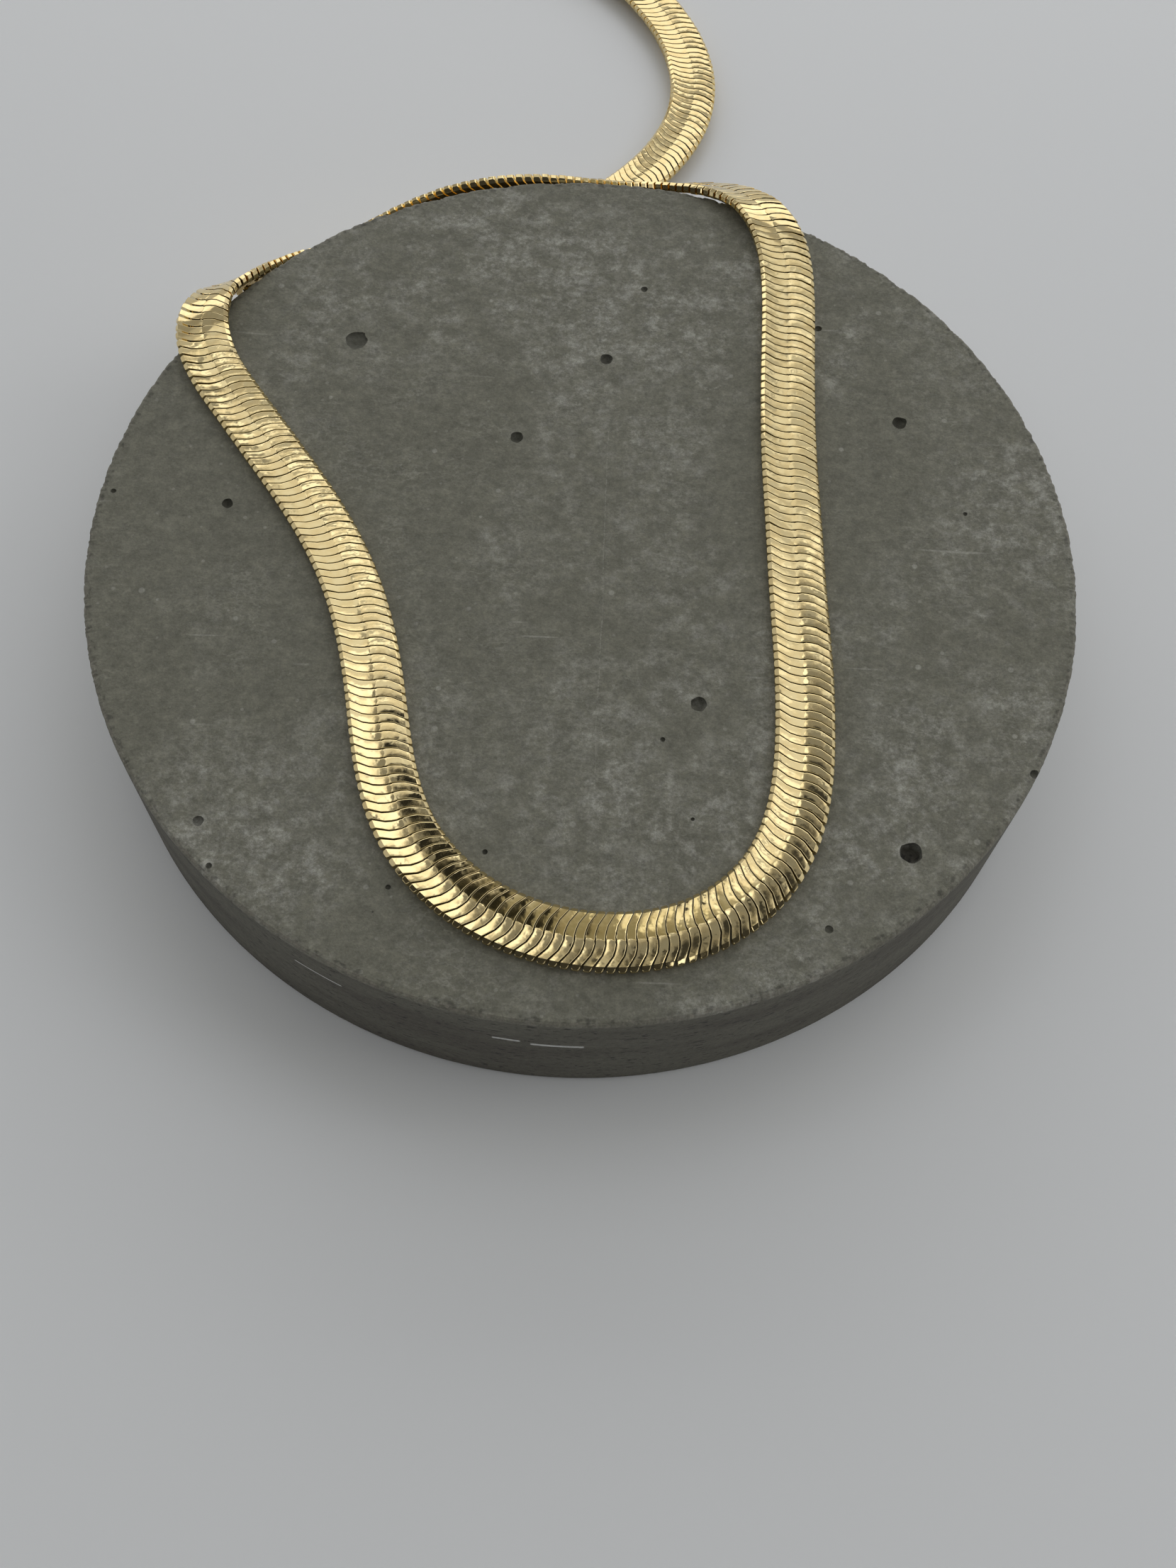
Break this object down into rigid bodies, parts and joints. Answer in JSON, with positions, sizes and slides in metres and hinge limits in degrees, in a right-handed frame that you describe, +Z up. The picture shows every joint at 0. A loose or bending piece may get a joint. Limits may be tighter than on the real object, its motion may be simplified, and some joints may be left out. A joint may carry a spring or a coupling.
{
  "type": "herringbone necklace chain on a round display disc",
  "caption": "Flat herringbone neck chain laid in a U over a round concrete display disc, its clasp end behind.",
  "frame": {"origin": "centre of the display disc's flat underside", "axes": "+Z up out of the disc's top, +Y towards the clasp end of the chain, +X to the viewer's right"},
  "size_m": [0.102, 0.1826, 0.0198],
  "materials": {
    "concrete": "cast grey concrete, matt, with small air holes and cloudy light patches",
    "chain_gold": "polished yellow gold plate",
    "clasp_gold": "polished yellow gold plate"
  },
  "bodies": {
    "root": {"display_disc": "concrete", "chain_left": "chain_gold", "chain_right": "chain_gold", "end_cap_hook_side": "clasp_gold", "end_cap_ring_side": "clasp_gold", "jump_ring": "clasp_gold", "clasp": "clasp_gold"}
  },
  "joints": []
}
